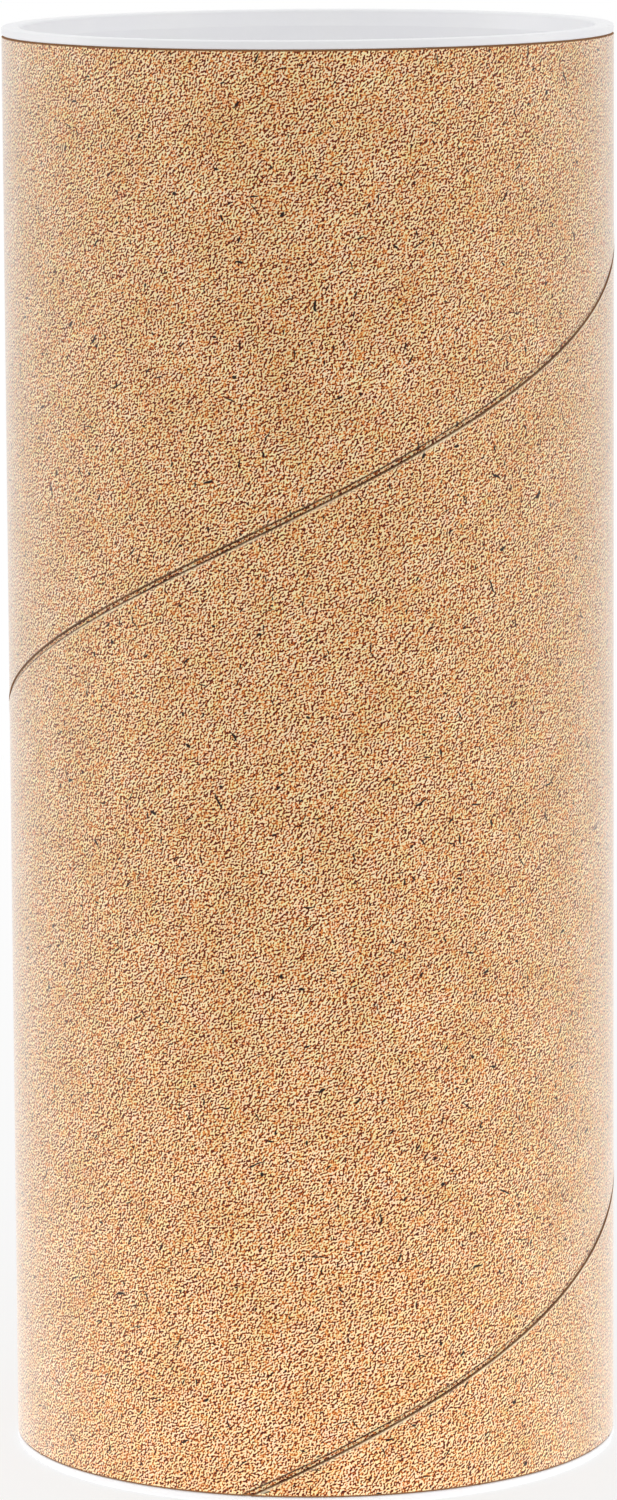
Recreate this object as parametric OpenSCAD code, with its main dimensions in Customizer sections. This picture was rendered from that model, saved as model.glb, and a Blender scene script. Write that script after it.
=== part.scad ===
// Kraft mailing tube, spirally wound from paper strip and closed by two push-in plastic end caps.
// It stands on its lower cap: the origin is the middle of that cap's underside, and +Z runs up the tube.

/* [Tube] */
// Inside diameter of the tube
bore_d = 63.5; // [40:0.5:120]
// Thickness of the wound and glued wall
wall = 1.5; // [1:0.1:4]
// Length of the tube between its two cut ends
tube_length = 155; // [80:1:600]
// Edge broken by the knife on the outer corner of each cut end
cut_edge = 0.2; // [0.05:0.05:0.5]

/* [Spiral seam] */
// Width of the paper strip, which sets the slant and the pitch of the seam
ply_width = 92.5; // [50:0.5:120]
// Thickness of one ply, which is the depth of the seam
ply_thickness = 0.3; // [0.2:0.05:0.6]
// Gap left open between the two edges of the strip
seam_gap = 0.5; // [0.3:0.1:1.5]
// Height above the lower cut end at which the outer seam crosses the front
seam_height = 107; // [0:1:150]
// Turn from the outer ply's seam to the inner ply's seam, in degrees
inner_seam_turn = 150; // [0:5:355]

/* [End cap flange] */
// Thickness of the flange that covers the cut end
flange_thickness = 0.9; // [0.6:0.1:3]
// Rounding of the flange's outer edges
flange_round = 0.2; // [0.05:0.05:0.3]
// Rounding of the lip where the flange turns down into the recess
lip_round = 0.35; // [0.1:0.05:0.5]

/* [End cap plug] */
// Depth of the plug below the flange
plug_depth = 14; // [10:0.5:30]
// Thickness of the plug's side wall
plug_wall = 0.8; // [0.6:0.05:1.5]
// Thickness of the plug's floor
floor_thickness = 1; // [0.6:0.1:2.5]
// Gap between the plug's root and the bore
plug_clearance = 0.2; // [0.1:0.05:0.4]
// Draft of the plug's wall, in degrees
plug_draft = 0.8; // [0.2:0.1:1.5]
// Chamfer that leads the plug into the bore
lead_in = 0.9; // [0.3:0.1:2]
// Depth of the flared mouth of the recess
mouth_depth = 1.8; // [1:0.1:4]
// Fillet between the recess wall and its floor
floor_fillet = 1.2; // [0.4:0.1:3]

/* [Grip ribs] */
// Number of grip ribs around the plug
rib_count = 3; // [1:1:4]
// Height of one rib along the plug
rib_height = 1; // [0.6:0.1:1.5]
// Running gap between the ribs and the bore
rib_clearance = 0.05; // [0.02:0.01:0.08]

/* [Gate mark] */
// Diameter of the moulding gate's dimple in the recess floor
gate_d = 5; // [2:0.5:10]
// Depth of that dimple
gate_depth = 0.3; // [0.1:0.05:0.4]

/* [Hidden] */
$fn = 96;

KRAFT_COLOUR = "#c89a6a";
CAP_COLOUR = "#f3f3f1";

// Segments in each small rounding, and turn of the seam's cutter in one slice
ROUND_STEPS = 5;
SLICE_TURN = 5;
// Length by which the seam's cutter runs past each cut end, and past the face that it opens
CUT_PAST = 1;

bore_r = bore_d / 2;
tube_r = bore_r + wall;
tube_bottom = flange_thickness;
tube_top = tube_bottom + tube_length;
total_height = tube_top + flange_thickness;

// A strip of this width closes on itself at a slant that its width and the tube's girth fix
girth = 2 * PI * tube_r;
seam_slant = asin(ply_width / girth);
seam_pitch = girth * tan(seam_slant);
FRONT = -90;

// Plug radii, outside and inside, at the root under the flange and at the foot
plug_root_r = bore_r - plug_clearance;
plug_foot_r = plug_root_r - plug_depth * tan(plug_draft);
recess_r = plug_root_r - plug_wall;
recess_foot_r = plug_foot_r - plug_wall;
mouth_r = plug_root_r - lip_round;
rib_r = bore_r - rib_clearance;
// The ribs share out the wall between the flange and the lead-in chamfer
rib_spacing = (plug_depth - lead_in) / (rib_count + 1);

// Heights in the cap's own frame: the flange's outer face is at 0 and the plug hangs below it
flange_under = -flange_thickness;
plug_foot = flange_under - plug_depth;
recess_floor = plug_foot + floor_thickness;

function arc(centre, radius, from, to) =
    [for (i = [0:ROUND_STEPS])
        let (turn = from + (to - from) * i / ROUND_STEPS)
        centre + radius * [cos(turn), sin(turn)]];

function plug_r(z) = plug_root_r - (flange_under - z) * tan(plug_draft);

// One rib's section, from its upper root to its lower root, with a flat land on the bore side
function rib_section(middle) =
    let (upper = middle + rib_height / 2, lower = middle - rib_height / 2, land = rib_height / 6)
    [[plug_r(upper), upper], [rib_r, middle + land], [rib_r, middle - land], [plug_r(lower), lower]];

function rib_middle(i) = flange_under - (i + 1) * rib_spacing;

// Half section of a cap, from the middle of its recess out over the flange and back under the plug
function cap_section() = concat(
    [[0, recess_floor - gate_depth],
     [gate_d / 2 - gate_depth, recess_floor - gate_depth],
     [gate_d / 2, recess_floor]],
    arc([recess_foot_r - floor_fillet, recess_floor + floor_fillet], floor_fillet, -90, 0),
    [[recess_r, -mouth_depth]],
    arc([mouth_r + lip_round, -lip_round], lip_round, 180, 90),
    arc([tube_r - flange_round, -flange_round], flange_round, 90, 0),
    arc([tube_r - flange_round, flange_under + flange_round], flange_round, 0, -90),
    [[plug_root_r, flange_under]],
    [for (i = [0:rib_count - 1]) each rib_section(rib_middle(i))],
    [[plug_r(plug_foot + lead_in), plug_foot + lead_in],
     [plug_foot_r - lead_in / 2, plug_foot],
     [0, plug_foot]]);

// Push-in cap as it comes from the mould, flange up
module end_cap() {
    rotate_extrude() polygon(cap_section());
}

// Helical cutter for the open butt joint between the edges of one ply
module seam_cutter(inner_r, outer_r, start_turn) {
    cut_length = tube_length + 2 * CUT_PAST;
    cut_turn = 360 * cut_length / seam_pitch;
    slice_count = ceil(cut_turn / SLICE_TURN);
    half_turn = seam_gap / sin(seam_slant) / girth * 180;
    corners = [[inner_r, -half_turn], [outer_r, -half_turn], [outer_r, half_turn], [inner_r, half_turn]];
    rotate(start_turn)
        translate([0, 0, -CUT_PAST])
        linear_extrude(height = cut_length, twist = -cut_turn, slices = slice_count, segments = len(corners))
        polygon([for (corner = corners) corner[0] * [cos(corner[1]), sin(corner[1])]]);
}

// Wound wall in one piece: both faces carry the open seam of their ply
module tube() {
    outer_start = FRONT - 360 * (seam_height + CUT_PAST) / seam_pitch;
    color(KRAFT_COLOUR) translate([0, 0, tube_bottom]) difference() {
        rotate_extrude() polygon([
            [bore_r, 0],
            [tube_r - cut_edge, 0],
            [tube_r, cut_edge],
            [tube_r, tube_length - cut_edge],
            [tube_r - cut_edge, tube_length],
            [bore_r, tube_length]]);
        seam_cutter(tube_r - ply_thickness, tube_r + CUT_PAST, outer_start);
        seam_cutter(bore_r - CUT_PAST, bore_r + ply_thickness, outer_start + inner_seam_turn);
    }
}

module top_cap() {
    color(CAP_COLOUR) translate([0, 0, total_height]) end_cap();
}

module bottom_cap() {
    color(CAP_COLOUR) rotate([180, 0, 0]) end_cap();
}

tube();
top_cap();
bottom_cap();
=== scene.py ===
"""Looks of a kraft mailing tube: a spirally wound board tube closed by two white push-in end caps.

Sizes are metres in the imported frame, where +Z runs up the tube from the underside of its lower cap.
"""
import logging
import math
from dataclasses import dataclass
from enum import Enum
from typing import Any, Callable, Mapping, Sequence

import bpy
from mathutils import Matrix, Vector


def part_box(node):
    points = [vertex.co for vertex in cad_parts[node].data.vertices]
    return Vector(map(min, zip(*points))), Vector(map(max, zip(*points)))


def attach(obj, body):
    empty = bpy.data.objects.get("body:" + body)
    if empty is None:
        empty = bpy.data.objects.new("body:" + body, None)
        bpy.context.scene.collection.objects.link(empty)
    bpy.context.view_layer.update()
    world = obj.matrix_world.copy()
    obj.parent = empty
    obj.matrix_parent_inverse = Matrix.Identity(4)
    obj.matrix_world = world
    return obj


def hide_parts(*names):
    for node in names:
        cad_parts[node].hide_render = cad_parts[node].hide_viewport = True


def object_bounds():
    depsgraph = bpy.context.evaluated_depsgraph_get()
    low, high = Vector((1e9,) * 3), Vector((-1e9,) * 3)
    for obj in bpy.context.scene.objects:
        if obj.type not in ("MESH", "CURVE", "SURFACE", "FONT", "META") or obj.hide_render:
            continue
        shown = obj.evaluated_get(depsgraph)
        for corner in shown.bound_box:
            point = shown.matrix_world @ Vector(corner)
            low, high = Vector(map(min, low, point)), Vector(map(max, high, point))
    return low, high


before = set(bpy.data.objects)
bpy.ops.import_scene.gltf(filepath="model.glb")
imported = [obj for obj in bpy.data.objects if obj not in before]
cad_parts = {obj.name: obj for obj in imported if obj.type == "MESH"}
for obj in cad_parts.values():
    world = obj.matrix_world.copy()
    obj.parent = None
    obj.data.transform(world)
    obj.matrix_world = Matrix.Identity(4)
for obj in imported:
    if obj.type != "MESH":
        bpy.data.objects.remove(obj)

LOG = logging.getLogger("mailing_tube")
CAD_BOX: tuple[Vector, Vector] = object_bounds()

MM = 0.001
# Distance within which two points are one
SNAP = 0.001 * MM
# Bearing of the side that faces the camera
FRONT = -math.pi / 2
# One UV map holds each face's place on the flat paper strip, in metres along and across it
STRIP_MAP = "strip"
# Sockets of a colour Mix node, which repeats its socket names for each kind of data
MIX_FACTOR, MIX_A, MIX_B, MIX_RESULT = 0, 6, 7, 2

Tree = bpy.types.NodeTree
Socket = bpy.types.NodeSocket
Colour = tuple[float, float, float, float]
Profile = Sequence[tuple[float, float]]


def linear(hex_colour: str) -> Colour:
    """Turns an sRGB hex colour into linear RGBA.

    Args:
        hex_colour: colour such as "#c8966a".

    Returns:
        Linear red, green, blue and an alpha of 1.
    """
    parts = [int(hex_colour[i:i + 2], 16) / 255 for i in (1, 3, 5)]
    red, green, blue = (p / 12.92 if p <= 0.04045 else ((p + 0.055) / 1.055) ** 2.4 for p in parts)
    return red, green, blue, 1.0


def add_node(
    tree: Tree,
    kind: str,
    inputs: Mapping[int | str, Any] | None = None,
    **settings: Any,
) -> bpy.types.Node:
    """Adds one shader node with its settings and its inputs.

    Args:
        tree: node tree that takes the node.
        kind: class of the node, such as "ShaderNodeMath".
        inputs: input socket to what it holds, an output socket to link or a plain value.
        **settings: attributes of the node, such as operation="ADD".

    Returns:
        The new node.
    """
    node = tree.nodes.new(kind)
    for name, value in settings.items():
        setattr(node, name, value)
    for key, value in (inputs or {}).items():
        if isinstance(value, Socket):
            tree.links.new(value, node.inputs[key])
        else:
            node.inputs[key].default_value = value
    return node


def new_material(name: str) -> tuple[bpy.types.Material, Tree]:
    """Makes an empty node material.

    Args:
        name: name of the real material and how its surface was made.

    Returns:
        The material and its node tree.
    """
    material = bpy.data.materials.new(name)
    material.use_nodes = True
    material.node_tree.nodes.clear()
    return material, material.node_tree


def draw_line(name: str, points: Sequence[Vector]) -> bpy.types.Object:
    """Draws an open line of edges by extruding one vertex from point to point.

    Args:
        name: name of the new object.
        points: places that the line runs through.

    Returns:
        The line, left in edit mode as the active object.
    """
    bpy.ops.object.select_all(action="DESELECT")
    bpy.ops.mesh.primitive_plane_add(size=2 * MM)
    line = bpy.context.object
    line.name = line.data.name = name
    bpy.ops.object.mode_set(mode="EDIT")
    bpy.ops.mesh.select_mode(type="VERT")
    bpy.ops.mesh.select_all(action="SELECT")
    bpy.ops.mesh.merge(type="CENTER")
    bpy.ops.mesh.select_all(action="SELECT")
    bpy.ops.transform.translate(value=points[0])
    for here, there in zip(points, points[1:]):
        bpy.ops.mesh.extrude_region_move(TRANSFORM_OT_translate={"value": there - here})
    return line


def select_edges(
    piece: bpy.types.Object, wanted: Callable[[bpy.types.MeshEdge, float], bool]
) -> None:
    """Selects edges by their place and leaves the object in edit mode.

    Args:
        piece: object to select on.
        wanted: test of an edge and the height of its middle.
    """
    bpy.ops.object.mode_set(mode="EDIT")
    bpy.ops.mesh.select_mode(type="EDGE")
    bpy.ops.mesh.select_all(action="DESELECT")
    bpy.ops.object.mode_set(mode="OBJECT")
    vertices = piece.data.vertices
    for edge in piece.data.edges:
        heights = [vertices[v].co.z for v in edge.vertices]
        edge.select = wanted(edge, sum(heights) / 2)
    bpy.ops.object.mode_set(mode="EDIT")


@dataclass(frozen=True)
class Flecks:
    """A scatter of short fibres in the paper, one to a cell at most."""

    cell: float  # millimetres from one fleck to the next
    length: float  # millimetres
    width: float  # millimetres
    share: float  # part of the cells that hold a fleck
    spread: float  # radians that a fleck may turn from the paper's grain
    seed: float  # millimetres that move this scatter off the others
    shortest: float = 0.4  # share of the length that the shortest flecks have
    core: float = 0.6  # share of a fleck that is at full strength, inside its soft edge

    def add(self, tree: Tree, place: Socket, grain: float) -> Socket:
        """Adds the nodes that draw the flecks.

        Args:
            tree: node tree of the paper.
            place: place on the strip, in millimetres.
            grain: direction of the paper's grain on the strip, in radians.

        Returns:
            Socket that is 1 on a fleck and 0 off it.
        """
        moved = add_node(
            tree, "ShaderNodeVectorMath", {0: place, 1: (self.seed, -self.seed, 0)}, operation="ADD")
        cells = add_node(
            tree, "ShaderNodeTexVoronoi", {"Vector": moved.outputs[0], "Scale": 1 / self.cell},
            voronoi_dimensions="2D")
        dice = add_node(tree, "ShaderNodeSeparateColor", {0: cells.outputs["Color"]})
        turn = add_node(
            tree, "ShaderNodeMapRange",
            {0: dice.outputs[0], 3: -grain - self.spread, 4: -grain + self.spread})
        offset = add_node(
            tree, "ShaderNodeVectorMath", {0: moved.outputs[0], 1: cells.outputs["Position"]},
            operation="SUBTRACT")
        along = add_node(
            tree, "ShaderNodeVectorRotate", {"Vector": offset.outputs[0], "Angle": turn.outputs[0]},
            rotation_type="Z_AXIS")
        stretch = add_node(
            tree, "ShaderNodeMapRange",
            {0: dice.outputs[2], 3: 2 / self.length, 4: 2 / (self.shortest * self.length)})
        slim = add_node(tree, "ShaderNodeCombineXYZ", {0: stretch.outputs[0], 1: 2 / self.width})
        shape = add_node(
            tree, "ShaderNodeVectorMath", {0: along.outputs[0], 1: slim.outputs[0]}, operation="MULTIPLY")
        reach = add_node(tree, "ShaderNodeVectorMath", {0: shape.outputs[0]}, operation="LENGTH")
        inside = add_node(
            tree, "ShaderNodeMapRange", {0: reach.outputs["Value"], 1: 1.0, 2: self.core},
            interpolation_type="SMOOTHSTEP")
        there = add_node(tree, "ShaderNodeMath", {0: dice.outputs[1], 1: self.share}, operation="LESS_THAN")
        return add_node(
            tree, "ShaderNodeMath", {0: inside.outputs[0], 1: there.outputs[0]},
            operation="MULTIPLY").outputs[0]


@dataclass(frozen=True)
class Strokes:
    """One layer of short dark and pale strokes, as fibres that cross each other leave them."""

    length: float  # millimetres
    spacing: float  # millimetres from one fibre to the next beside it
    alignment: float  # 0 for fibres that lie any way, 1 for fibres all along the grain
    weight: float  # share of the layer in the whole web

    def add(self, tree: Tree, place: Socket, grain: float) -> Socket:
        """Adds the layer.

        Args:
            tree: node tree of the paper.
            place: place on the strip, in millimetres.
            grain: direction of the paper's grain on the strip, in radians.

        Returns:
            Socket of the layer's height, about 0.
        """
        waves = add_node(
            tree, "ShaderNodeTexGabor",
            {"Vector": place, "Scale": 1 / self.length, "Frequency": self.length / self.spacing,
             "Anisotropy": self.alignment, "Orientation": grain + math.pi / 2})
        return add_node(
            tree, "ShaderNodeMapRange",
            {0: waves.outputs["Value"], 3: -self.weight, 4: self.weight}).outputs[0]


@dataclass(frozen=True)
class KraftPaper:
    """Uncoated kraft paper off the roll, wound and glued as the tube's visible ply.

    Long brown softwood fibres lie mostly along the strip. They give a fine streaky mottle, a scatter of
    darker fibre bundles, and a dull surface whose fuzz pales towards the outline.
    """

    strip_width: float  # millimetres
    seam_gap: float  # millimetres
    name: str = "kraft_paper_uncoated"
    # Tones of the web, each with the height at which it is reached
    tones: tuple[tuple[float, str], ...] = (
        (-0.28, "#541000"), (-0.125, "#c35f19"), (0.0, "#fea453"), (0.15, "#ffecba"))
    bundle: str = "#1c0800"
    # Glue of the seam's two lines, which also stands in as painted shade in the corners of the seam's
    # groove
    glue: str = "#2a0d00"
    # Pale frayed fibres at the seam's edges, with a painted highlight
    fray_and_highlight: str = "#fbe6c0"
    grain: float = math.radians(20)  # turn of the fibres from the strip's own direction
    # Real fibres are about 0.03 mm wide, too fine to show in the render, so the strokes and the single
    # fibres are drawn as coarse as they need to show
    strokes: tuple[Strokes, ...] = (
        Strokes(length=0.3, spacing=0.4, alignment=0.4, weight=1.4),
    )
    # Single fibres, with the height that each adds to the web or takes from it
    fibres: tuple[tuple[Flecks, float], ...] = (
        (Flecks(cell=0.55, length=0.9, width=0.17, share=0.8, spread=math.radians(38), seed=3.0), 0.22),
        (Flecks(cell=0.58, length=0.8, width=0.17, share=0.8, spread=math.radians(38), seed=29.0), -0.22),
    )
    patch: float = 1.6  # millimetres across a patch of thicker or thinner, warmer or cooler paper
    patch_tint: tuple[float, float, float] = (0.2, 0.2, 0.36)  # span of each colour over the patches
    patch_noise: tuple[float, float] = (0.3, 0.7)  # noise in a thin patch and in a thick one
    patch_contrast: tuple[float, float] = (0.6, 1.4)  # strength of the web in those two
    cloud: float = 6.0  # millimetres across a cloud of darker or paler pulp
    cloud_tint: tuple[float, float, float] = (0.18, 0.3, 0.6)
    relief: float = 0.02 * MM
    relief_size: float = 0.35  # millimetres
    roughness: float = 0.6
    ior: float = 1.5
    gloss: float = 0.12  # share of a smooth surface's reflection that the fibres leave
    fuzz_weight: float = 1.0  # of the loose fibre ends, which catch light at a slant
    fuzz_roughness: float = 0.45
    seam_wear: float = 7.0  # millimetres along a darker or paler stretch of the seam
    wear_noise: tuple[float, float] = (0.35, 0.6)  # noise at the most worn place and the least
    glue_shade_reach: tuple[float, float] = (0.14, 0.07)  # millimetres to the soft edge and the core of a glue line with its painted shade
    line_strength: tuple[float, float] = (0.7, 1.0)  # of the glue lines and their painted shade where worn and where not
    scuff_highlight_reach: tuple[float, float] = (0.42, 0.2)  # millimetres to the soft edge and the core of the pale scuff, frayed fibres with a painted highlight
    scuff_highlight_strength: tuple[float, float] = (0.75, 0.3)  # of the scuff and its painted highlight where worn and where not
    scuff_highlight_far: float = 0.1  # of the scuff on the edge above the seam, which the painted highlight mostly leaves out
    bundle_turn: float = math.radians(15)  # of the dark bundles from the other fibres
    curl: float = 0.5  # millimetres that a bent fleck strays from its straight line
    curl_length: float = 1.6  # millimetres along one bend
    flecks: tuple[Flecks, ...] = (
        Flecks(cell=2.6, length=1.0, width=0.25, share=0.45, spread=math.radians(55), seed=13.0),
        Flecks(cell=5.5, length=2.2, width=0.2, share=0.6, spread=math.radians(75), seed=57.0),
    )

    def build(self) -> bpy.types.Material:
        """Makes the material.

        Returns:
            The kraft paper, drawn on the strip's own map.
        """
        material, tree = new_material(self.name)
        uv = add_node(tree, "ShaderNodeUVMap", uv_map=STRIP_MAP)
        place = add_node(
            tree, "ShaderNodeVectorMath", {0: uv.outputs[0], "Scale": 1 / MM}, operation="SCALE").outputs[0]
        patches = add_node(
            tree, "ShaderNodeTexNoise",
            {"Vector": place, "Scale": 1 / self.patch, "Detail": 1.0}, noise_dimensions="2D")
        colour = self.fibre_colour(tree, place, patches.outputs["Fac"])
        colour = self.tint(tree, colour, patches.outputs["Color"], self.patch_tint)
        clouds = add_node(
            tree, "ShaderNodeTexNoise",
            {"Vector": place, "Scale": 1 / self.cloud, "Detail": 2.0}, noise_dimensions="2D")
        colour = self.tint(tree, colour, clouds.outputs["Fac"], self.cloud_tint)
        colour = self.add_flecks(tree, place, colour)
        colour = self.seam_shade(tree, place, colour)
        fuzz = add_node(
            tree, "ShaderNodeTexNoise",
            {"Vector": place, "Scale": 1 / self.relief_size, "Detail": 0.0}, noise_dimensions="2D")
        bump = add_node(
            tree, "ShaderNodeBump", {"Strength": 1.0, "Distance": self.relief, "Height": fuzz.outputs[0]})
        shader = add_node(
            tree, "ShaderNodeBsdfPrincipled",
            {"Base Color": colour, "Roughness": self.roughness, "Normal": bump.outputs[0], "IOR": self.ior,
             "Specular IOR Level": self.gloss, "Sheen Weight": self.fuzz_weight,
             "Sheen Roughness": self.fuzz_roughness})
        add_node(tree, "ShaderNodeOutputMaterial", {0: shader.outputs[0]})
        return material

    @staticmethod
    def tint(tree: Tree, colour: Socket, drift: Socket, spans: Sequence[float]) -> Socket:
        """Lets a slow drift tint the paper about its own colour.

        Args:
            tree: node tree of the paper.
            colour: colour of the paper.
            drift: noise about 0.5, for each colour or for all of them.
            spans: share by which the noise can change red, green and blue.

        Returns:
            Socket of the tinted colour.
        """
        share = add_node(
            tree, "ShaderNodeVectorMath", {0: drift, 1: spans, 2: [1 - span / 2 for span in spans]},
            operation="MULTIPLY_ADD")
        return add_node(
            tree, "ShaderNodeVectorMath", {0: colour, 1: share.outputs[0]}, operation="MULTIPLY").outputs[0]

    def fibre_colour(self, tree: Tree, place: Socket, patches: Socket) -> Socket:
        """Adds the web of crossing strokes, pale where a fibre lies on top and dark in the hollows.

        Args:
            tree: node tree of the paper.
            place: place on the strip, in millimetres.
            patches: slow drift from 0 to 1, which makes the web stronger in some places.

        Returns:
            Socket of the colour.
        """
        strength = add_node(
            tree, "ShaderNodeMapRange",
            {0: patches, 1: self.patch_noise[0], 2: self.patch_noise[1],
             3: self.patch_contrast[0], 4: self.patch_contrast[1]})
        web: Socket | float = 0.0
        for layer in self.strokes:
            height = layer.add(tree, place, self.grain)
            web = add_node(tree, "ShaderNodeMath", {0: height, 1: web}, operation="ADD").outputs[0]
        for scatter, rise in self.fibres:
            mark = scatter.add(tree, place, self.grain)
            web = add_node(
                tree, "ShaderNodeMath", {0: mark, 1: rise, 2: web}, operation="MULTIPLY_ADD").outputs[0]
        web = add_node(
            tree, "ShaderNodeMath", {0: web, 1: strength.outputs[0]}, operation="MULTIPLY").outputs[0]
        colour: Socket | Colour = linear(self.tones[0][1])
        for (low, _), (high, tone) in zip(self.tones, self.tones[1:]):
            share = add_node(tree, "ShaderNodeMapRange", {0: web, 1: low, 2: high})
            colour = add_node(
                tree, "ShaderNodeMix",
                {MIX_FACTOR: share.outputs[0], MIX_A: colour, MIX_B: linear(tone)},
                data_type="RGBA").outputs[MIX_RESULT]
        return colour

    def add_flecks(self, tree: Tree, place: Socket, colour: Socket) -> Socket:
        """Adds the dark fibre bundles.

        Args:
            tree: node tree of the paper.
            place: place on the strip, in millimetres.
            colour: colour of the paper.

        Returns:
            Socket of the flecked colour.
        """
        bent = self.bend(tree, place)
        for scatter in self.flecks:
            mark = scatter.add(tree, bent, self.grain + self.bundle_turn)
            colour = add_node(
                tree, "ShaderNodeMix",
                {MIX_FACTOR: mark, MIX_A: colour, MIX_B: linear(self.bundle)},
                data_type="RGBA").outputs[MIX_RESULT]
        return colour

    def bend(self, tree: Tree, place: Socket) -> Socket:
        """Adds slow wanderings, so that flecks drawn on the result lie bent on the paper.

        Args:
            tree: node tree of the paper.
            place: place on the strip, in millimetres.

        Returns:
            Socket of the bent place, in millimetres.
        """
        drift = add_node(
            tree, "ShaderNodeTexNoise",
            {"Vector": place, "Scale": 1 / self.curl_length, "Detail": 0.0}, noise_dimensions="2D")
        return add_node(
            tree, "ShaderNodeVectorMath",
            {0: drift.outputs["Color"], 1: (2 * self.curl, 2 * self.curl, 0), 2: place},
            operation="MULTIPLY_ADD").outputs[0]

    def seam_shade(self, tree: Tree, place: Socket, colour: Socket) -> Socket:
        """Darkens the two glue lines where the strip's edges stop short of each other, with painted shade
        in the groove's corners, and pales the edges with fray and a painted highlight on the edge below the
        seam.

        Args:
            tree: node tree of the paper.
            place: place on the strip, in millimetres, with the seam's middle at 0 across it.
            colour: colour of the paper.

        Returns:
            Socket of the shaded colour.
        """
        across = add_node(tree, "ShaderNodeSeparateXYZ", {0: place})
        middle = add_node(
            tree, "ShaderNodeMath", {0: across.outputs[1], 1: self.strip_width / 2}, operation="SUBTRACT")
        apart = add_node(tree, "ShaderNodeMath", {0: middle.outputs[0]}, operation="ABSOLUTE")
        from_seam = add_node(
            tree, "ShaderNodeMath", {0: self.strip_width / 2, 1: apart.outputs[0]}, operation="SUBTRACT")
        from_edge = add_node(
            tree, "ShaderNodeMath", {0: from_seam.outputs[0], 1: self.seam_gap / 2}, operation="SUBTRACT")
        line = add_node(tree, "ShaderNodeMath", {0: from_edge.outputs[0]}, operation="ABSOLUTE")
        wear = add_node(
            tree, "ShaderNodeTexNoise",
            {"Vector": place, "Scale": 1 / self.seam_wear, "Detail": 2.0}, noise_dimensions="2D")
        worn, sound = self.wear_noise
        # Strength of the glue lines with their painted shade, and of the pale scuff with its painted
        # highlight, varied along the seam
        depth, fuzz = (
            add_node(
                tree, "ShaderNodeMapRange",
                {0: wear.outputs[0], 1: worn, 2: sound, 3: strength[0], 4: strength[1]})
            for strength in (self.line_strength, self.scuff_highlight_strength))
        # Glue lines with painted shade along both edges of the seam's groove
        dark = add_node(
            tree, "ShaderNodeMapRange",
            {0: line.outputs[0], 1: self.glue_shade_reach[0], 2: self.glue_shade_reach[1], 3: 0.0, 4: depth.outputs[0]},
            interpolation_type="SMOOTHSTEP")
        # Painted highlight: the edge below the seam, which faces up into the light, takes the full scuff,
        # and the edge above it takes little
        below = add_node(
            tree, "ShaderNodeMapRange",
            {0: middle.outputs[0], 1: -1.0, 2: 1.0, 3: self.scuff_highlight_far, 4: fuzz.outputs[0]})
        scuff_and_highlight = add_node(
            tree, "ShaderNodeMapRange",
            {0: from_edge.outputs[0], 1: self.scuff_highlight_reach[0], 2: self.scuff_highlight_reach[1],
             3: 0.0, 4: below.outputs[0]},
            interpolation_type="SMOOTHSTEP")
        on_strip = add_node(
            tree, "ShaderNodeMath", {0: from_edge.outputs[0], 1: 0.0}, operation="GREATER_THAN")
        pale = add_node(
            tree, "ShaderNodeMath", {0: scuff_and_highlight.outputs[0], 1: on_strip.outputs[0]}, operation="MULTIPLY")
        frayed_and_lit = add_node(
            tree, "ShaderNodeMix",
            {MIX_FACTOR: pale.outputs[0], MIX_A: colour, MIX_B: linear(self.fray_and_highlight)}, data_type="RGBA")
        return add_node(
            tree, "ShaderNodeMix",
            {MIX_FACTOR: dark.outputs[0], MIX_A: frayed_and_lit.outputs[MIX_RESULT], MIX_B: linear(self.glue)},
            data_type="RGBA").outputs[MIX_RESULT]


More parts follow.
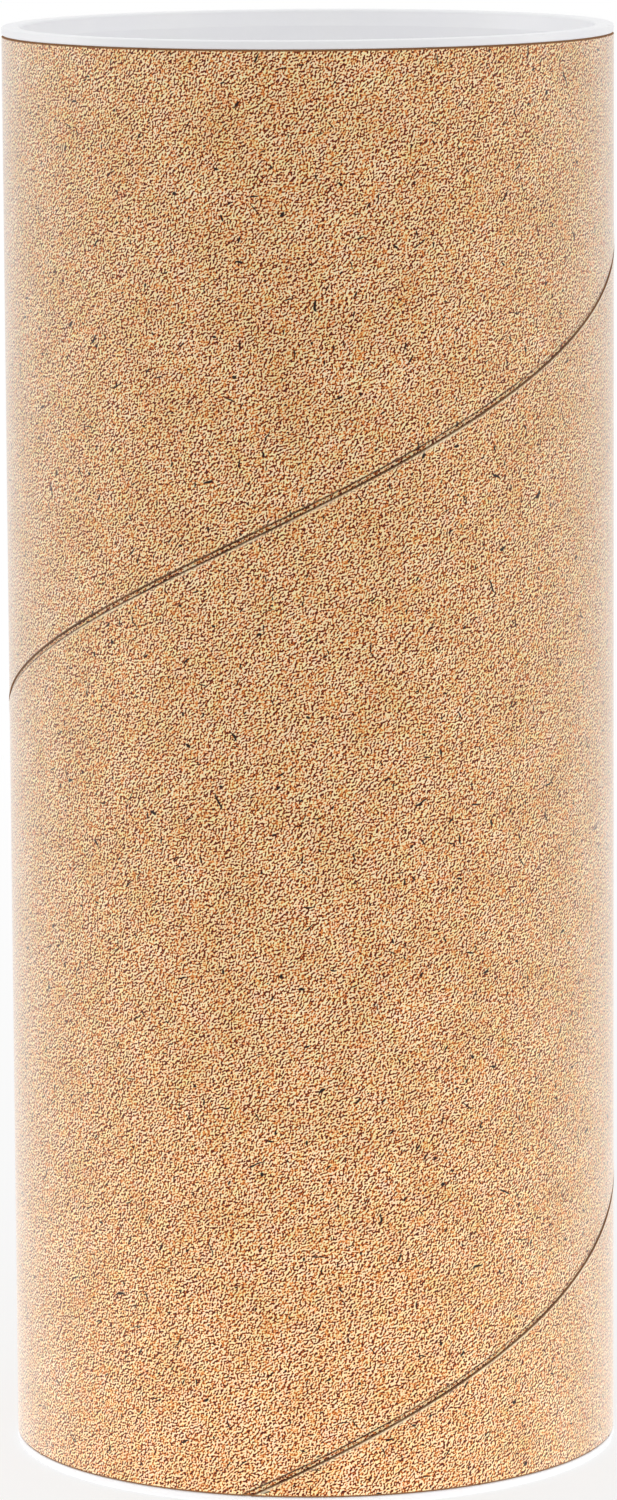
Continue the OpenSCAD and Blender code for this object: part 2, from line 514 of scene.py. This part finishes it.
@dataclass(frozen=True)
class CutBoard:
    """Wound board cut across by a knife, which shows the plies as fine rings and leaves a fuzzy face, with
    painted shade on its broken outer corner under the cap's flange.
    """

    bore_radius: float
    gap_shade_radius: float  # past which the broken corner takes painted shade of the gap under the cap's flange
    name: str = "kraft_board_knife_cut"
    board: str = "#c6945e"
    glue: str = "#75502b"
    # Painted shade of the gap between the tube's end and the cap's flange
    gap_shade: str = "#90633a"
    ply: float = 0.3 * MM
    line_strength: float = 0.8  # of the glue between two plies
    # The fuzz of a knife cut is finer than this, and is drawn as coarse as it needs to show
    fuzz_size: float = 0.35 * MM
    fuzz_relief: float = 0.04 * MM
    roughness: float = 0.9

    def build(self) -> bpy.types.Material:
        """Makes the material.

        Returns:
            The cut end of the board, ringed about the tube's axis.
        """
        material, tree = new_material(self.name)
        place = add_node(tree, "ShaderNodeTexCoord").outputs["Object"]
        flat = add_node(tree, "ShaderNodeVectorMath", {0: place, 1: (1, 1, 0)}, operation="MULTIPLY")
        radius = add_node(tree, "ShaderNodeVectorMath", {0: flat.outputs[0]}, operation="LENGTH")
        depth = add_node(
            tree, "ShaderNodeMath", {0: radius.outputs["Value"], 1: self.bore_radius}, operation="SUBTRACT")
        ring = add_node(
            tree, "ShaderNodeMath", {0: depth.outputs[0], 1: self.ply / 2}, operation="PINGPONG")
        line = add_node(
            tree, "ShaderNodeMapRange",
            {0: ring.outputs[0], 1: 0.0, 2: self.ply / 4, 3: self.line_strength, 4: 0.0})
        fuzz = add_node(
            tree, "ShaderNodeTexNoise", {"Vector": place, "Scale": 1 / self.fuzz_size, "Detail": 2.0})
        worn = add_node(
            tree, "ShaderNodeMath", {0: line.outputs[0], 1: fuzz.outputs[0]}, operation="MULTIPLY")
        colour = add_node(
            tree, "ShaderNodeMix",
            {MIX_FACTOR: worn.outputs[0], MIX_A: linear(self.board), MIX_B: linear(self.glue)},
            data_type="RGBA")
        # Painted shade of the gap under the cap's flange, on the cut end's broken outer corner
        corner = add_node(
            tree, "ShaderNodeMath",
            {0: radius.outputs["Value"], 1: self.gap_shade_radius}, operation="GREATER_THAN")
        gap_shaded = add_node(
            tree, "ShaderNodeMix",
            {MIX_FACTOR: corner.outputs[0], MIX_A: colour.outputs[MIX_RESULT], MIX_B: linear(self.gap_shade)},
            data_type="RGBA")
        bump = add_node(
            tree, "ShaderNodeBump",
            {"Strength": 1.0, "Distance": self.fuzz_relief, "Height": fuzz.outputs[0]})
        shader = add_node(
            tree, "ShaderNodeBsdfPrincipled",
            {"Base Color": gap_shaded.outputs[MIX_RESULT], "Roughness": self.roughness,
             "Normal": bump.outputs[0]})
        add_node(tree, "ShaderNodeOutputMaterial", {0: shader.outputs[0]})
        return material


@dataclass(frozen=True)
class MouldedPolythene:
    """White low-density polythene from the mould: waxy, faintly uneven and softly shiny."""

    name: str = "polythene_white_moulded"
    white: str = "#f8f8f8"
    shade: str = "#f3f3f7"
    roughness: float = 0.42
    roughness_span: tuple[float, float] = (-0.06, 0.08)  # by which the melt's flow changes it
    ior: float = 1.51
    ripple: float = 6.0 * MM
    ripple_noise: tuple[float, float] = (0.3, 0.7)  # noise where the melt shines most and least
    # The mould's own grit is finer than this, and is drawn as coarse as it needs to show
    grit: float = 0.3 * MM
    grit_relief: float = 0.01 * MM

    def build(self) -> bpy.types.Material:
        """Makes the material.

        Returns:
            The white polythene, drawn on Object coordinates.
        """
        material, tree = new_material(self.name)
        place = add_node(tree, "ShaderNodeTexCoord").outputs["Object"]
        flow = add_node(
            tree, "ShaderNodeTexNoise", {"Vector": place, "Scale": 1 / self.ripple, "Detail": 3.0})
        grit = add_node(
            tree, "ShaderNodeTexNoise", {"Vector": place, "Scale": 1 / self.grit, "Detail": 1.0})
        colour = add_node(
            tree, "ShaderNodeMix",
            {MIX_FACTOR: flow.outputs[0], MIX_A: linear(self.white), MIX_B: linear(self.shade)},
            data_type="RGBA")
        gloss = add_node(
            tree, "ShaderNodeMapRange",
            {0: flow.outputs[0], 1: self.ripple_noise[0], 2: self.ripple_noise[1],
             3: self.roughness + self.roughness_span[0], 4: self.roughness + self.roughness_span[1]})
        bump = add_node(
            tree, "ShaderNodeBump",
            {"Strength": 0.5, "Distance": self.grit_relief, "Height": grit.outputs[0]})
        shader = add_node(
            tree, "ShaderNodeBsdfPrincipled",
            {"Base Color": colour.outputs[MIX_RESULT], "Roughness": gloss.outputs[0],
             "Normal": bump.outputs[0], "IOR": self.ior})
        add_node(tree, "ShaderNodeOutputMaterial", {0: shader.outputs[0]})
        return material


class Side(Enum):
    """Faces of the wound wall, in the order of the tube's material slots."""

    OUTSIDE = 0
    BORE = 1
    CUT_END = 2


@dataclass
class WoundTube:
    """The board tube, wound from paper strip whose edges meet in an open spiral seam."""

    node: str = "tube"
    body: str = "tube"
    slot: str = "kraft_board"
    wall: float = 1.5 * MM
    ply_width: float = 92.5 * MM
    seam_depth: float = 0.12 * MM  # left of the ply's thickness by the glue and the ply below
    seam_gap: float = 0.5 * MM
    seam_height: float = 107 * MM  # above the lower cut end, where the outer seam crosses the front
    bore_seam_turn: float = math.radians(150)  # from the outer seam to the bore's
    cut_edge: float = 0.2 * MM
    edge_lift: float = 0.05 * MM  # by which the strip's edges spring off the core
    edge_round: float = 0.04 * MM
    lift_reach: float = 1.6 * MM
    lift_knee: float = 0.4  # share of the lift that is left at that share of its reach
    smooth_angle: float = math.radians(35)
    steps_per_turn: int = 180
    cuts_across: int = 44

    def __post_init__(self) -> None:
        """Takes the outer sizes from the frame and works out the seam's slant and pitch."""
        low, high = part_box(self.node)
        self.bottom: float = low.z
        self.top: float = high.z
        self.radius: float = high.x
        self.bore: float = self.radius - self.wall
        girth = 2 * math.pi * self.radius
        self.slant: float = math.asin(self.ply_width / girth)
        self.pitch: float = girth * math.tan(self.slant)

    def seam_section(self, side: Side) -> Profile:
        """Draws one turn of the wall's face, from the middle of the seam to the middle of the next.

        Args:
            side: which face of the wall.

        Returns:
            Points of radius and height above the seam's middle.
        """
        outward = 1 if side is Side.OUTSIDE else -1
        face = self.radius if side is Side.OUTSIDE else self.bore
        lift = self.edge_lift if side is Side.OUTSIDE else 0.0
        core = face - outward * self.seam_depth
        edge = self.seam_gap / 2 / math.cos(self.slant)
        lower_half = [
            (core, 0.0),
            (core, edge),
            (face + outward * (lift - self.edge_round), edge + self.edge_round / 4),
            (face + outward * lift, edge + self.edge_round),
            (face + outward * lift * self.lift_knee, edge + self.lift_reach * self.lift_knee),
            (face, edge + self.lift_reach),
        ]
        return lower_half + [(radius, self.pitch - height) for radius, height in reversed(lower_half)]

    def wind(self, side: Side) -> bpy.types.Object:
        """Winds one face of the wall as a screw of its section and trims it to the tube's length.

        Args:
            side: which face of the wall.

        Returns:
            The open skin, in place.
        """
        section = self.seam_section(side)
        crossing = self.bottom + self.seam_height
        turns_below = math.ceil((crossing - self.bottom) / self.pitch) + 1
        start = crossing - turns_below * self.pitch
        turns = math.ceil((self.top - start) / self.pitch)
        facing = FRONT + (self.bore_seam_turn if side is Side.BORE else 0.0)
        ray = Vector((math.cos(facing), math.sin(facing), 0))
        points = [radius * ray + Vector((0, 0, start + height)) for radius, height in section]
        skin = draw_line(f"skin_{side.name.lower()}", points)
        middle = len(section) // 2
        select_edges(skin, lambda edge, _: set(edge.vertices) == {middle - 1, middle})
        bpy.ops.mesh.subdivide(number_cuts=self.cuts_across)
        bpy.ops.object.mode_set(mode="OBJECT")
        screw = skin.modifiers.new("wind", "SCREW")
        screw.angle = 2 * math.pi
        screw.screw_offset = self.pitch
        screw.iterations = turns
        screw.steps = screw.render_steps = self.steps_per_turn
        bpy.ops.object.modifier_apply(modifier=screw.name)
        bpy.ops.object.mode_set(mode="EDIT")
        bpy.ops.mesh.select_all(action="SELECT")
        bpy.ops.mesh.remove_doubles(threshold=SNAP)
        bpy.ops.mesh.select_all(action="SELECT")
        bpy.ops.mesh.bisect(
            plane_co=(0, 0, self.bottom), plane_no=(0, 0, 1), clear_inner=True, threshold=SNAP)
        bpy.ops.mesh.select_all(action="SELECT")
        bpy.ops.mesh.bisect(
            plane_co=(0, 0, self.top), plane_no=(0, 0, 1), clear_outer=True, threshold=SNAP)
        bpy.ops.object.mode_set(mode="OBJECT")
        return skin

    def break_edges(self, skin: bpy.types.Object) -> None:
        """Breaks the outer corner of both cut ends, as the knife leaves it.

        Args:
            skin: the outer skin.
        """
        shrink = (self.radius - self.cut_edge) / self.radius
        for end, inward in ((self.bottom, 1), (self.top, -1)):
            bpy.ops.object.mode_set(mode="EDIT")
            bpy.ops.mesh.select_all(action="SELECT")
            bpy.ops.mesh.bisect(
                plane_co=(0, 0, end + inward * self.cut_edge), plane_no=(0, 0, 1), threshold=SNAP)
            select_edges(skin, lambda edge, height, end=end: abs(height - end) < SNAP)
            bpy.ops.transform.resize(value=(shrink, shrink, 1), center_override=(0, 0, 0))
            bpy.ops.object.mode_set(mode="OBJECT")

    def build(self) -> bpy.types.Object:
        """Winds both faces, closes the cut ends between them and maps the strip.

        Returns:
            The finished tube.
        """
        outside = self.wind(Side.OUTSIDE)
        self.break_edges(outside)
        bore = self.wind(Side.BORE)
        bpy.ops.object.select_all(action="DESELECT")
        bore.select_set(True)
        outside.select_set(True)
        bpy.context.view_layer.objects.active = outside
        bpy.ops.object.join()
        tube = outside
        tube.name = tube.data.name = "kraft_tube"
        for end in (self.bottom, self.top):
            select_edges(tube, lambda edge, height, end=end: abs(height - end) < SNAP)
            bpy.ops.mesh.fill()
        bpy.ops.mesh.select_all(action="SELECT")
        bpy.ops.mesh.normals_make_consistent(inside=False)
        bpy.ops.object.mode_set(mode="OBJECT")
        bpy.ops.object.shade_smooth_by_angle(angle=self.smooth_angle)
        self.sort_faces(tube)
        self.unroll(tube)
        return tube

    def sort_faces(self, tube: bpy.types.Object) -> None:
        """Gives each face of the wall its material slot.

        Args:
            tube: the closed tube.
        """
        middle = (self.radius + self.bore) / 2
        for face in tube.data.polygons:
            if abs(face.normal.z) > 0.5:
                side = Side.CUT_END
            elif face.center.xy.length > middle:
                side = Side.OUTSIDE
            else:
                side = Side.BORE
            face.material_index = side.value

    def unroll(self, tube: bpy.types.Object) -> None:
        """Maps every face to its place on the flat strip, so the paper breaks only at the seam.

        Args:
            tube: the closed tube.
        """
        mesh = tube.data
        layer = mesh.uv_layers.new(name=STRIP_MAP)
        crossing = self.bottom + self.seam_height
        for face in mesh.polygons:
            on_bore = face.material_index == Side.BORE.value
            radius = self.bore if on_bore else self.radius
            first = FRONT + (self.bore_seam_turn if on_bore else 0.0)
            facing = math.atan2(face.center.y, face.center.x)
            above = face.center.z - crossing - self.pitch * (facing - first) / (2 * math.pi)
            turn = math.floor(above / self.pitch)
            for loop in face.loop_indices:
                spot = mesh.vertices[mesh.loops[loop].vertex_index].co
                swing = math.remainder(math.atan2(spot.y, spot.x) - facing, 2 * math.pi)
                wound = facing - first + swing + 2 * math.pi * turn
                height = spot.z - crossing - self.pitch * wound / (2 * math.pi)
                along = radius * wound / math.cos(self.slant) + height * math.sin(self.slant)
                layer.uv[loop].vector = (along, height * math.cos(self.slant))

    def dress(self, tube: bpy.types.Object) -> None:
        """Gives the tube its papers and sets it on its body.

        Args:
            tube: the finished tube.
        """
        strip = {"strip_width": self.ply_width / MM, "seam_gap": self.seam_gap / MM}
        # The painted shade of the gap under each cap's flange starts just inside the broken corner
        corner = self.radius - self.cut_edge - 10 * SNAP
        outside = KraftPaper(**strip)
        bore = KraftPaper(**strip, name="kraft_liner_uncoated", patch_tint=(0.3, 0.3, 0.4))
        for finish in (outside, bore, CutBoard(self.bore, corner)):
            tube.data.materials.append(finish.build())
        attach(tube, self.body)
        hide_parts(self.node)


@dataclass
class EndCap:
    """A push-in cap, whose moulded shape comes with the frame."""

    node: str
    finish: MouldedPolythene

    def dress(self) -> bpy.types.Object:
        """Gives the cap its plastic.

        Returns:
            The cap.
        """
        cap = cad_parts[self.node]
        material = bpy.data.materials.get(self.finish.name) or self.finish.build()
        for slot in cap.material_slots:
            slot.material = material
        return cap


@dataclass
class Softbox:
    """A large soft lamp aimed at the tube."""

    name: str
    place: tuple[float, float, float]
    width: float
    height: float
    watts: float

    def build(self, target: Vector) -> bpy.types.Object:
        """Hangs the lamp.

        Args:
            target: point that the lamp faces.

        Returns:
            The lamp.
        """
        light = bpy.data.lights.new(self.name, "AREA")
        light.shape = "RECTANGLE"
        light.size, light.size_y = self.width, self.height
        light.energy = self.watts
        lamp = bpy.data.objects.new(self.name, light)
        lamp.location = self.place
        lamp.rotation_euler = (target - lamp.location).to_track_quat("-Z", "Y").to_euler()
        lamp.visible_camera = False
        bpy.context.scene.collection.objects.link(lamp)
        return lamp


@dataclass
class Studio:
    """Pale floor, soft lamps, white surroundings and the photograph's camera."""

    floor_size: float = 16.0
    floor_colour: str = "#e8e8e8"
    floor_glow: float = 0.7  # share of plain white that the camera sees in the floor by the tube
    floor_fade: tuple[float, float] = (0.08, 0.5)  # distances over which that grows to all white
    # The lit table pales the tube's foot, and is hidden from what is seen so that the shadow shows
    table_glow: float = 0.64
    table_reach: tuple[float, float] = (0.05, 0.22)  # distances over which the table's light dies away
    front_strength: float = 0.4  # of the lamp cloth behind the camera
    back_strength: float = 0.28  # of the pale sweep behind the tube
    roof_strength: float = 1.11  # of the lamp cloth overhead
    camera_distance: float = 798.25 * MM
    camera_height: float = 198.86 * MM
    camera_pitch: float = math.radians(8.677)
    camera_roll: float = math.radians(-0.343)
    camera_yaw: float = math.radians(-0.027)
    focal_pixels: float = 7322.8
    frame_pixels: float = 1500.0
    sensor: float = 36.0

    def build(self) -> None:
        """Sets up the whole studio."""
        scene = bpy.context.scene
        scene.view_settings.view_transform = "Standard"
        self.lay_floor()
        self.light_world()
        centre = (CAD_BOX[0] + CAD_BOX[1]) / 2
        Softbox("left_softbox", (-0.72, 0.15, 0.16), width=0.4, height=0.7, watts=1.5).build(centre)
        Softbox("right_softbox", (0.8, 0.0, 0.12), width=0.4, height=0.6, watts=1.45).build(centre)
        self.set_camera()

    def lay_floor(self) -> None:
        """Lays the pale floor under the tube."""
        bpy.ops.object.select_all(action="DESELECT")
        bpy.ops.mesh.primitive_plane_add(size=self.floor_size)
        floor = bpy.context.object
        floor.name = "floor"
        material, tree = new_material("studio_floor_white")
        place = add_node(tree, "ShaderNodeTexCoord")
        away = add_node(tree, "ShaderNodeVectorMath", {0: place.outputs["Object"]}, operation="LENGTH")
        near = add_node(
            tree, "ShaderNodeMapRange",
            {0: away.outputs["Value"], 1: self.table_reach[0], 2: self.table_reach[1],
             3: self.table_glow, 4: 0.0},
            interpolation_type="SMOOTHSTEP")
        seen = self.seen(tree)
        hidden = add_node(tree, "ShaderNodeMapRange", {0: seen, 3: near.outputs[0], 4: 0.0})
        paper = add_node(tree, "ShaderNodeBsdfDiffuse", {"Color": linear(self.floor_colour)})
        table = add_node(tree, "ShaderNodeEmission", {"Strength": hidden.outputs[0]})
        lit = add_node(tree, "ShaderNodeAddShader", {0: paper.outputs[0], 1: table.outputs[0]})
        fade = add_node(
            tree, "ShaderNodeMapRange",
            {0: away.outputs["Value"], 1: self.floor_fade[0], 2: self.floor_fade[1],
             3: self.floor_glow, 4: 1.0})
        share = add_node(tree, "ShaderNodeMath", {0: seen, 1: fade.outputs[0]}, operation="MULTIPLY")
        white = add_node(tree, "ShaderNodeEmission")
        shader = add_node(
            tree, "ShaderNodeMixShader", {0: share.outputs[0], 1: lit.outputs[0], 2: white.outputs[0]})
        add_node(tree, "ShaderNodeOutputMaterial", {0: shader.outputs[0]})
        floor.data.materials.append(material)

    @staticmethod
    def seen(tree: Tree) -> Socket:
        """Adds a switch for what the camera sees, straight, mirrored or through glass.

        Args:
            tree: node tree of the floor or the world.

        Returns:
            Socket that is 1 on such a ray and 0 on one that only carries light.
        """
        path = add_node(tree, "ShaderNodeLightPath")
        straight = add_node(
            tree, "ShaderNodeMath",
            {0: path.outputs["Is Camera Ray"], 1: path.outputs["Is Glossy Ray"]}, operation="MAXIMUM")
        return add_node(
            tree, "ShaderNodeMath",
            {0: straight.outputs[0], 1: path.outputs["Is Transmission Ray"]},
            operation="MAXIMUM").outputs[0]

    def light_world(self) -> None:
        """Lights the tube from the front, the back and above, and shows all round white to the camera."""
        world = bpy.data.worlds.new("white_studio")
        bpy.context.scene.world = world
        world.use_nodes = True
        tree = world.node_tree
        tree.nodes.clear()
        place = add_node(tree, "ShaderNodeTexCoord")
        facing = add_node(tree, "ShaderNodeSeparateXYZ", {0: place.outputs["Generated"]})
        wash: Socket | float = 0.0
        for axis, end, brightest in (
            (1, -1.0, self.front_strength), (1, 1.0, self.back_strength), (2, 1.0, self.roof_strength),
        ):
            cloth = add_node(
                tree, "ShaderNodeMapRange", {0: facing.outputs[axis], 1: 0.0, 2: end, 3: 0.0, 4: brightest})
            wash = add_node(
                tree, "ShaderNodeMath", {0: cloth.outputs[0], 1: wash}, operation="ADD").outputs[0]
        strength = add_node(
            tree, "ShaderNodeMapRange", {0: self.seen(tree), 3: wash, 4: 1.0})
        sky = add_node(
            tree, "ShaderNodeBackground", {"Color": linear("#ffffff"), "Strength": strength.outputs[0]})
        add_node(tree, "ShaderNodeOutputWorld", {0: sky.outputs[0]})

    def set_camera(self) -> None:
        """Stands the camera where the photograph was taken from."""
        lens = bpy.data.cameras.new("camera")
        lens.sensor_width = self.sensor
        lens.lens = self.focal_pixels / self.frame_pixels * self.sensor
        lens.clip_start = 0.01
        camera = bpy.data.objects.new("camera", lens)
        camera.location = (0, -self.camera_distance, self.camera_height)
        level = Matrix.Rotation(-self.camera_yaw, 3, "Z")
        tilt = Matrix.Rotation(math.pi / 2 - self.camera_pitch, 3, "X")
        roll = Matrix.Rotation(self.camera_roll, 3, "Z")
        camera.rotation_euler = (level @ tilt @ roll).to_euler()
        bpy.context.scene.collection.objects.link(camera)
        bpy.context.scene.camera = camera


def main() -> None:
    """Builds and dresses the tube, dresses its caps and sets up the studio."""
    logging.basicConfig(level=logging.INFO, format="%(name)s: %(message)s")
    tube = WoundTube()
    piece = tube.build()
    tube.dress(piece)
    LOG.info("%s: %d faces", piece.name, len(piece.data.polygons))
    plastic = MouldedPolythene()
    for node in ("top_cap", "bottom_cap"):
        cap = EndCap(node, plastic).dress()
        LOG.info("%s: %d faces", cap.name, len(cap.data.polygons))
    Studio().build()


if __name__ == "__main__":
    main()
